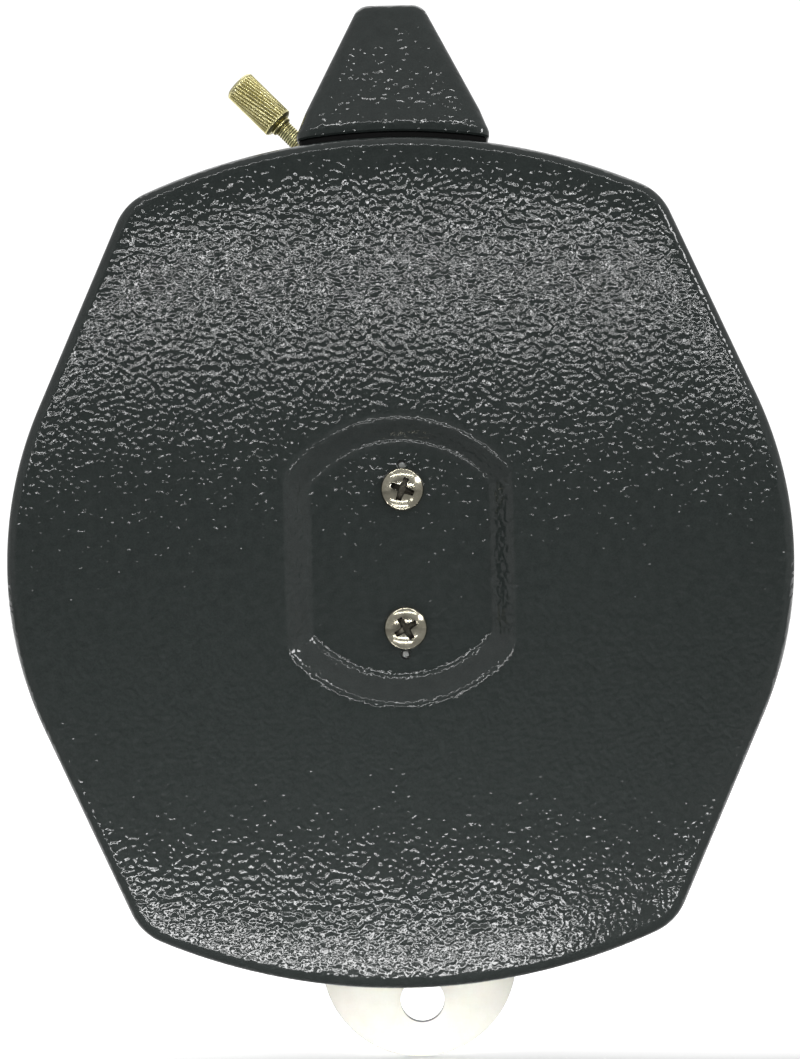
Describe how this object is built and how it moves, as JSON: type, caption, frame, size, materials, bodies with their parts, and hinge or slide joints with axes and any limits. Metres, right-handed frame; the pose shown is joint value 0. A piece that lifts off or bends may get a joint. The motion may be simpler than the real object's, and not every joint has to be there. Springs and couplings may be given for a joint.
{
  "type": "chalk line reel",
  "caption": "Crank-wound chalk line reel: flat barrel-shaped painted case, lift-off tapered nose held by a knurled screw, crank with knob, and a swinging hanging tab.",
  "frame": {"origin": "on the reel's axis, on the floor of the recess in the back face", "axes": "-Y out of the back face, +Y out of the crank side, +Z towards the nose"},
  "size_m": [0.1504, 0.0808, 0.2107],
  "materials": {
    "hammered_paint": "glossy hammered enamel with a coarse orange-peel relief",
    "seal_rubber": "matt black",
    "nickel": "bright nickel plate with a warm tint",
    "zinc_plate": "bright zinc plate",
    "cast_zinc": "as-cast zinc alloy",
    "brass": "turned and knurled brass",
    "felt": "pressed wool felt",
    "nylon": "natural nylon",
    "reel_plastic": "moulded black plastic",
    "knob_plastic": "moulded black plastic, semi-gloss",
    "cotton_line": "twisted cotton line, lightly chalked"
  },
  "bodies": {
    "case": {"rear_shell": "hammered_paint", "case_gasket": "seal_rubber", "front_cover": "hammered_paint", "cover_screw_1": "nickel", "cover_screw_2": "nickel", "cover_screw_3": "nickel", "cover_screw_4": "nickel", "cover_screw_5": "nickel", "cover_screw_6": "nickel", "neck_collar": "cast_zinc", "nose_gasket": "seal_rubber", "tab_rivet": "zinc_plate", "tab_spacer": "zinc_plate", "axle_flange": "cast_zinc", "spindle": "zinc_plate", "back_screw_top": "nickel", "back_screw_bottom": "nickel", "hub_seal": "felt", "hub_bush": "nylon", "line_lead": "cotton_line", "hub_washer": "zinc_plate", "hub_screw": "nickel"},
    "nose_unit": {"nose": "hammered_paint", "mouth_eyelet": "brass", "wiper_felt": "felt", "felt_retainer": "zinc_plate"},
    "screw_pad": {"lock_pad": "nylon"},
    "lock_screw": {"thumb_screw": "brass"},
    "tab": {"hang_tab": "zinc_plate"},
    "reel": {"spool_back_flange": "reel_plastic", "spool_drum": "reel_plastic", "spool_front_flange": "reel_plastic", "spool_screw_1": "zinc_plate", "spool_screw_2": "zinc_plate", "spool_screw_3": "zinc_plate", "spool_bush": "nylon", "wound_line": "cotton_line", "crank_hub": "cast_zinc", "crank_arm": "nickel", "knob_washer": "zinc_plate", "knob_pin": "zinc_plate"},
    "knob": {"crank_knob": "knob_plastic"}
  },
  "joints": [
    {"name": "reel_spin", "type": "hinge", "parent": "case", "child": "reel", "pos_m": [0, 0.02, 0], "axis": [0, 1, 0], "continuous": true},
    {"name": "knob_spin", "type": "hinge", "parent": "reel", "child": "knob", "pos_m": [0, 0.06, -0.044], "axis": [0, 1, 0], "continuous": true},
    {"name": "nose_lift", "type": "slide", "parent": "case", "child": "nose_unit", "axis": [0, 0, 1], "range_m": [0, 0.014]},
    {"name": "pad_travel", "type": "slide", "parent": "case", "child": "screw_pad", "axis": [-0.6997, 0, 0.7145], "range_m": [0, 0.004]},
    {"name": "lock_turn", "type": "hinge", "parent": "screw_pad", "child": "lock_screw", "pos_m": [-0.0121, 0.016, 0.07685], "axis": [-0.6997, 0, 0.7145], "range_deg": [0, 1801]},
    {"name": "tab_swing", "type": "hinge", "parent": "case", "child": "tab", "pos_m": [0, 0.032, -0.049], "axis": [0, 1, 0], "range_deg": [-2, 9]}
  ],
  "couplings": [
    {"joint": "lock_turn", "follows": "pad_travel", "rad_per_m": 7854}
  ]
}
